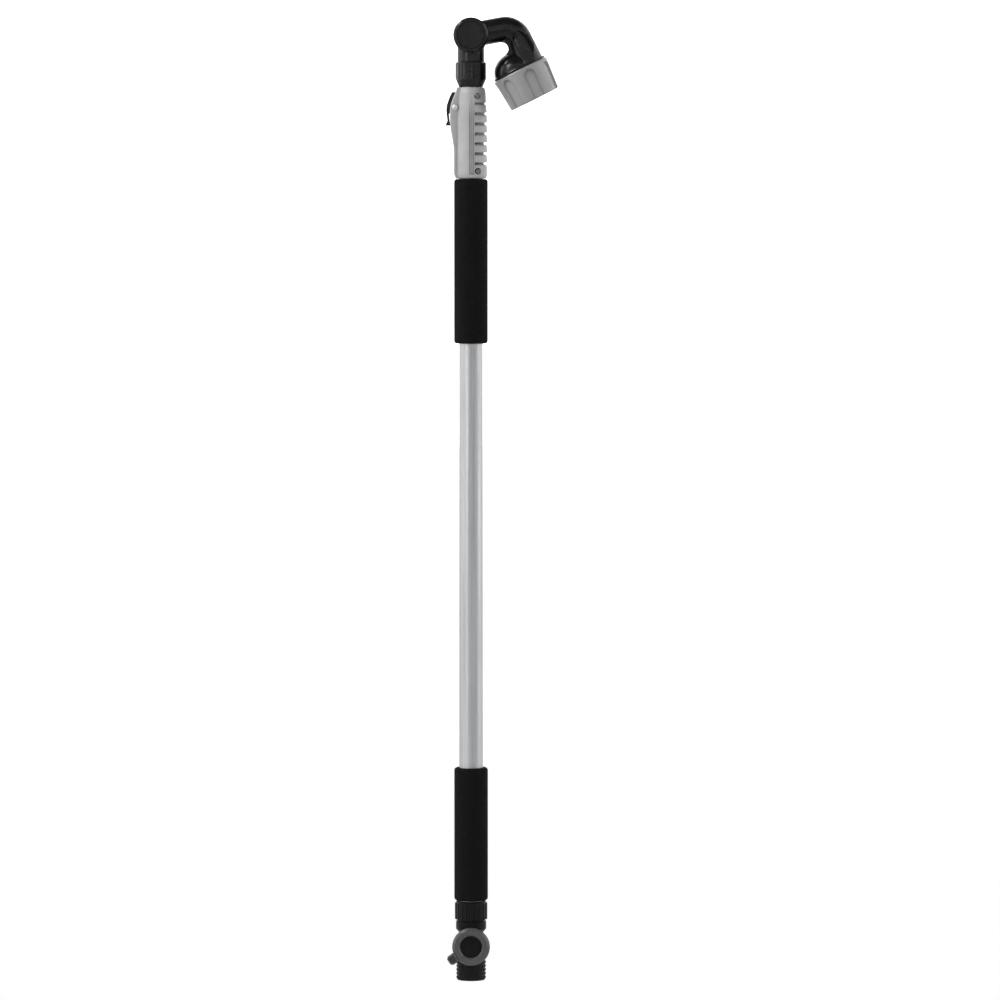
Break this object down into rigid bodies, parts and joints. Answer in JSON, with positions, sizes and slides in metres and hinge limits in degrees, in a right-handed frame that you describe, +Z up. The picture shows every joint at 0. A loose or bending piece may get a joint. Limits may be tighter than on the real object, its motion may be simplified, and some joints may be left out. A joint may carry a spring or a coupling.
{
  "type": "telescopic watering wand",
  "caption": "Telescopic hose wand: foam grips, rocker lock, hose swivel with ball valve, tilting turret spray head.",
  "frame": {"origin": "centre of the hose inlet's mouth, on the axis of the tubes", "axes": "+Z up the wand, +X towards the side the spray head reaches out to, -Y the front, where the valve's dial faces"},
  "size_m": [0.1178, 0.0612, 1.0143],
  "materials": {
    "anodised_aluminium": "satin",
    "bare_aluminium": "satin",
    "foam": "matte foam",
    "grey_plastic": "satin",
    "dark_grey_plastic": "matte",
    "dial_grey_plastic": "satin",
    "black_plastic": "semi-gloss",
    "black_matte_plastic": "matte",
    "nylon": "matte",
    "ptfe": "satin",
    "seal_rubber": "matte",
    "steel": "bright"
  },
  "bodies": {
    "pole": {"outer_tube": "anodised_aluminium", "upper_foam_grip": "foam", "lower_foam_grip": "foam", "lock_housing": "grey_plastic", "housing_screws": "steel", "lever_pivot_pin": "steel", "guide_bush": "nylon", "wiper_ring": "seal_rubber", "tube_gasket": "seal_rubber", "tube_clamp_ring": "nylon", "lower_union_nut": "black_plastic", "valve_body": "black_matte_plastic", "ball_seats": "ptfe", "seat_retainer": "nylon", "swivel_snap_ring": "nylon"},
    "hose_nut": {"hose_coupling_nut": "black_plastic", "hose_washer": "seal_rubber"},
    "valve_control": {"valve_ball": "ptfe", "valve_stem": "nylon", "stem_o_ring": "seal_rubber", "valve_dial": "dark_grey_plastic", "valve_dial_cap": "black_matte_plastic", "valve_dial_screw": "steel"},
    "lever": {"lock_lever": "black_plastic"},
    "brake": {"brake_shoe": "nylon", "brake_pad": "seal_rubber"},
    "extension": {"inner_tube": "bare_aluminium", "piston": "nylon", "piston_o_rings": "seal_rubber", "inner_tube_adapter": "black_matte_plastic", "upper_union_nut": "black_plastic", "adapter_o_ring": "seal_rubber"},
    "neck": {"neck_elbow": "black_plastic", "pivot_rear_cap": "black_plastic"},
    "head": {"head_arm": "black_plastic", "pivot_cap": "black_plastic", "pivot_screw": "steel", "pivot_o_rings": "seal_rubber", "outlet_seal": "seal_rubber", "outlet_spring": "steel", "detent_ball": "steel", "detent_spring": "steel", "dial_centre_screw": "steel"},
    "dial": {"pattern_dial": "dial_grey_plastic", "dial_back_plate": "nylon", "dial_gasket": "seal_rubber", "dial_face": "black_matte_plastic"}
  },
  "joints": [
    {"name": "extension_slide", "type": "slide", "parent": "pole", "child": "extension", "axis": [0, 0, 1], "range_m": [0, 0.66]},
    {"name": "head_swivel", "type": "hinge", "parent": "extension", "child": "neck", "pos_m": [0, 0, 0.9595], "axis": [0, 0, 1], "continuous": true},
    {"name": "head_tilt", "type": "hinge", "parent": "neck", "child": "head", "pos_m": [0, 0, 0.9946], "axis": [0, -1, 0], "range_deg": [0, 150]},
    {"name": "dial_turn", "type": "hinge", "parent": "head", "child": "dial", "pos_m": [0.05159, 0, 0.95855], "axis": [-0.4462, 0, 0.8949], "continuous": true},
    {"name": "valve_turn", "type": "hinge", "parent": "pole", "child": "valve_control", "pos_m": [0, 0, 0.0372], "axis": [0, 1, 0], "range_deg": [0, 90]},
    {"name": "hose_nut_turn", "type": "hinge", "parent": "pole", "child": "hose_nut", "pos_m": [0, 0, 0.017], "axis": [0, 0, 1], "continuous": true},
    {"name": "lever_rock", "type": "hinge", "parent": "pole", "child": "lever", "pos_m": [-0.0163, 0, 0.9192], "axis": [0, 1, 0], "range_deg": [0, 16]},
    {"name": "brake_release", "type": "slide", "parent": "pole", "child": "brake", "axis": [-1, 0, 0], "range_m": [0, 0.0008]}
  ],
  "couplings": [
    {"joint": "brake_release", "follows": "lever_rock", "m_per_rad": 0.00286}
  ]
}
